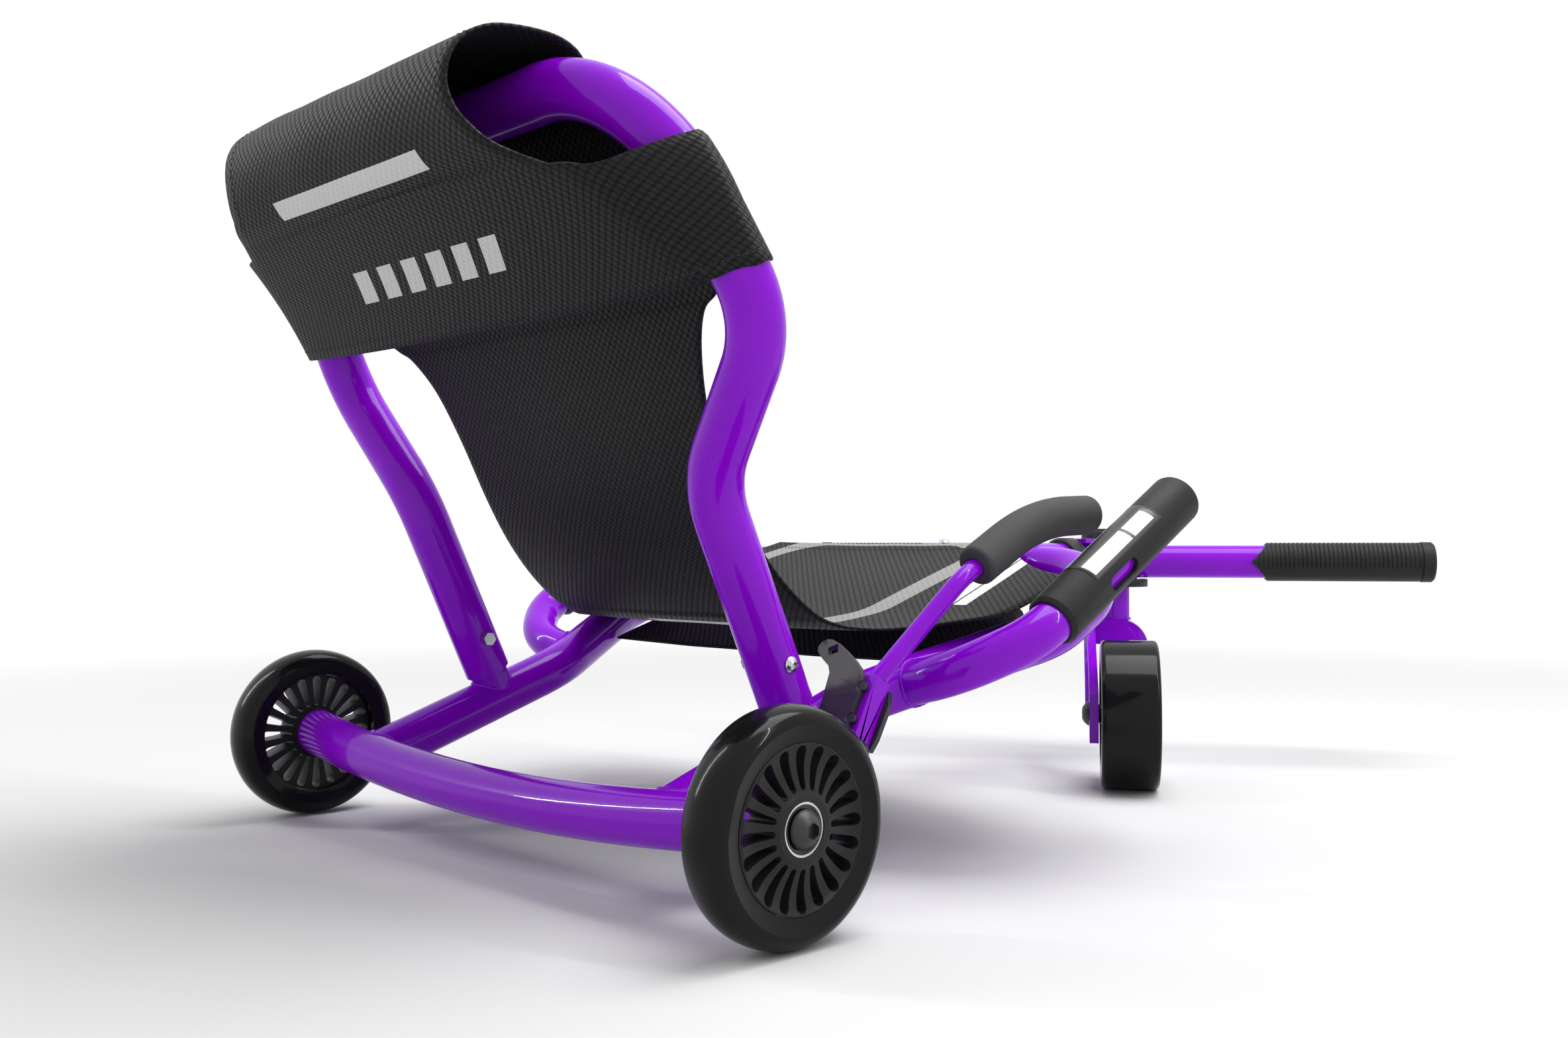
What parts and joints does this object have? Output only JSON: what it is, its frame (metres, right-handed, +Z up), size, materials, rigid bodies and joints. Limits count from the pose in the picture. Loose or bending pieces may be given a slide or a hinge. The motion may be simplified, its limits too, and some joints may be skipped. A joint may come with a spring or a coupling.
{
  "type": "sit-down scooter",
  "caption": "Low sit-down scooter: cloth seat on a bent tube frame, two rear wheels, a foot-steered front wheel and a hand brake lever.",
  "frame": {"origin": "on the ground under the middle of the scooter's length and width", "axes": "+X to the rider's right, +Y forward, +Z up"},
  "size_m": [0.5752, 1.0139, 0.4879],
  "materials": {
    "paint": "glossy powder coat",
    "steel": "plated",
    "black_metal": "satin",
    "tyre": "glossy polyurethane",
    "hub": "satin",
    "grip": "matte",
    "foam": "matte foam",
    "shoe": "matte",
    "cover": "fine moulded texture",
    "cloth": "coated mesh weave"
  },
  "bodies": {
    "frame": {"axle_tube": "paint", "axle_sleeves": "steel", "rear_axle_bolts": "black_metal", "left_rail": "paint", "right_rail": "paint", "front_cross_tube": "paint", "left_hand_loop": "paint", "right_hand_loop": "paint", "left_grip_lower": "grip", "left_grip_upper": "grip", "right_grip_lower": "grip", "right_grip_upper": "grip", "back_stubs": "paint", "back_tube": "paint", "back_screws": "steel", "boom_stub": "paint", "boom_tube": "paint", "boom_screw": "steel", "head_plates": "paint", "steering_bushes": "cover", "head_cover_upper": "cover", "head_cover_lower": "cover", "brake_sleeve": "steel", "brake_spring": "steel", "seat_sling": "cloth", "front_hem": "cloth", "under_panel": "cloth", "back_pocket": "cloth"},
    "steering": {"steering_tube": "paint", "foot_bar": "paint", "steering_bolt": "black_metal", "left_foot_grip": "grip", "right_foot_grip": "grip", "fork_crown": "paint", "fork_arm": "paint", "front_axle_bolt": "black_metal"},
    "front_wheel": {"front_tyre": "tyre", "front_hub": "hub", "front_bearings": "steel"},
    "left_rear_wheel": {"left_rear_tyre": "tyre", "left_rear_hub": "hub", "left_rear_bearings": "steel"},
    "right_rear_wheel": {"right_rear_tyre": "tyre", "right_rear_hub": "hub", "right_rear_bearings": "steel"},
    "brake_lever": {"brake_pivot_bolt": "black_metal", "brake_yoke": "paint", "brake_rod": "paint", "brake_handle": "foam", "brake_hook_plate": "black_metal", "brake_front_plate": "black_metal", "brake_rivets": "black_metal", "brake_shoe": "shoe", "brake_shoe_arm": "black_metal"}
  },
  "joints": [
    {"name": "steer", "type": "hinge", "parent": "frame", "child": "steering", "pos_m": [0, 0.3262, 0.1894], "axis": [0, 0, 1], "range_deg": [-79.5, 10.5]},
    {"name": "front_wheel_spin", "type": "hinge", "parent": "steering", "child": "front_wheel", "pos_m": [0.11879, 0.16395, 0.0625], "axis": [0.8241, 0.5664, 0], "continuous": true},
    {"name": "left_rear_wheel_spin", "type": "hinge", "parent": "frame", "child": "left_rear_wheel", "pos_m": [-0.2612, -0.3808, 0.0625], "axis": [1, 0, 0], "continuous": true},
    {"name": "right_rear_wheel_spin", "type": "hinge", "parent": "frame", "child": "right_rear_wheel", "pos_m": [0.2612, -0.3808, 0.0625], "axis": [1, 0, 0], "continuous": true},
    {"name": "brake", "type": "hinge", "parent": "frame", "child": "brake_lever", "pos_m": [0.198, -0.2736, 0.0836], "axis": [1, 0, 0], "range_deg": [0, 6], "stiffness_Nm_per_rad": 1.5, "springref_deg": -17.19}
  ]
}
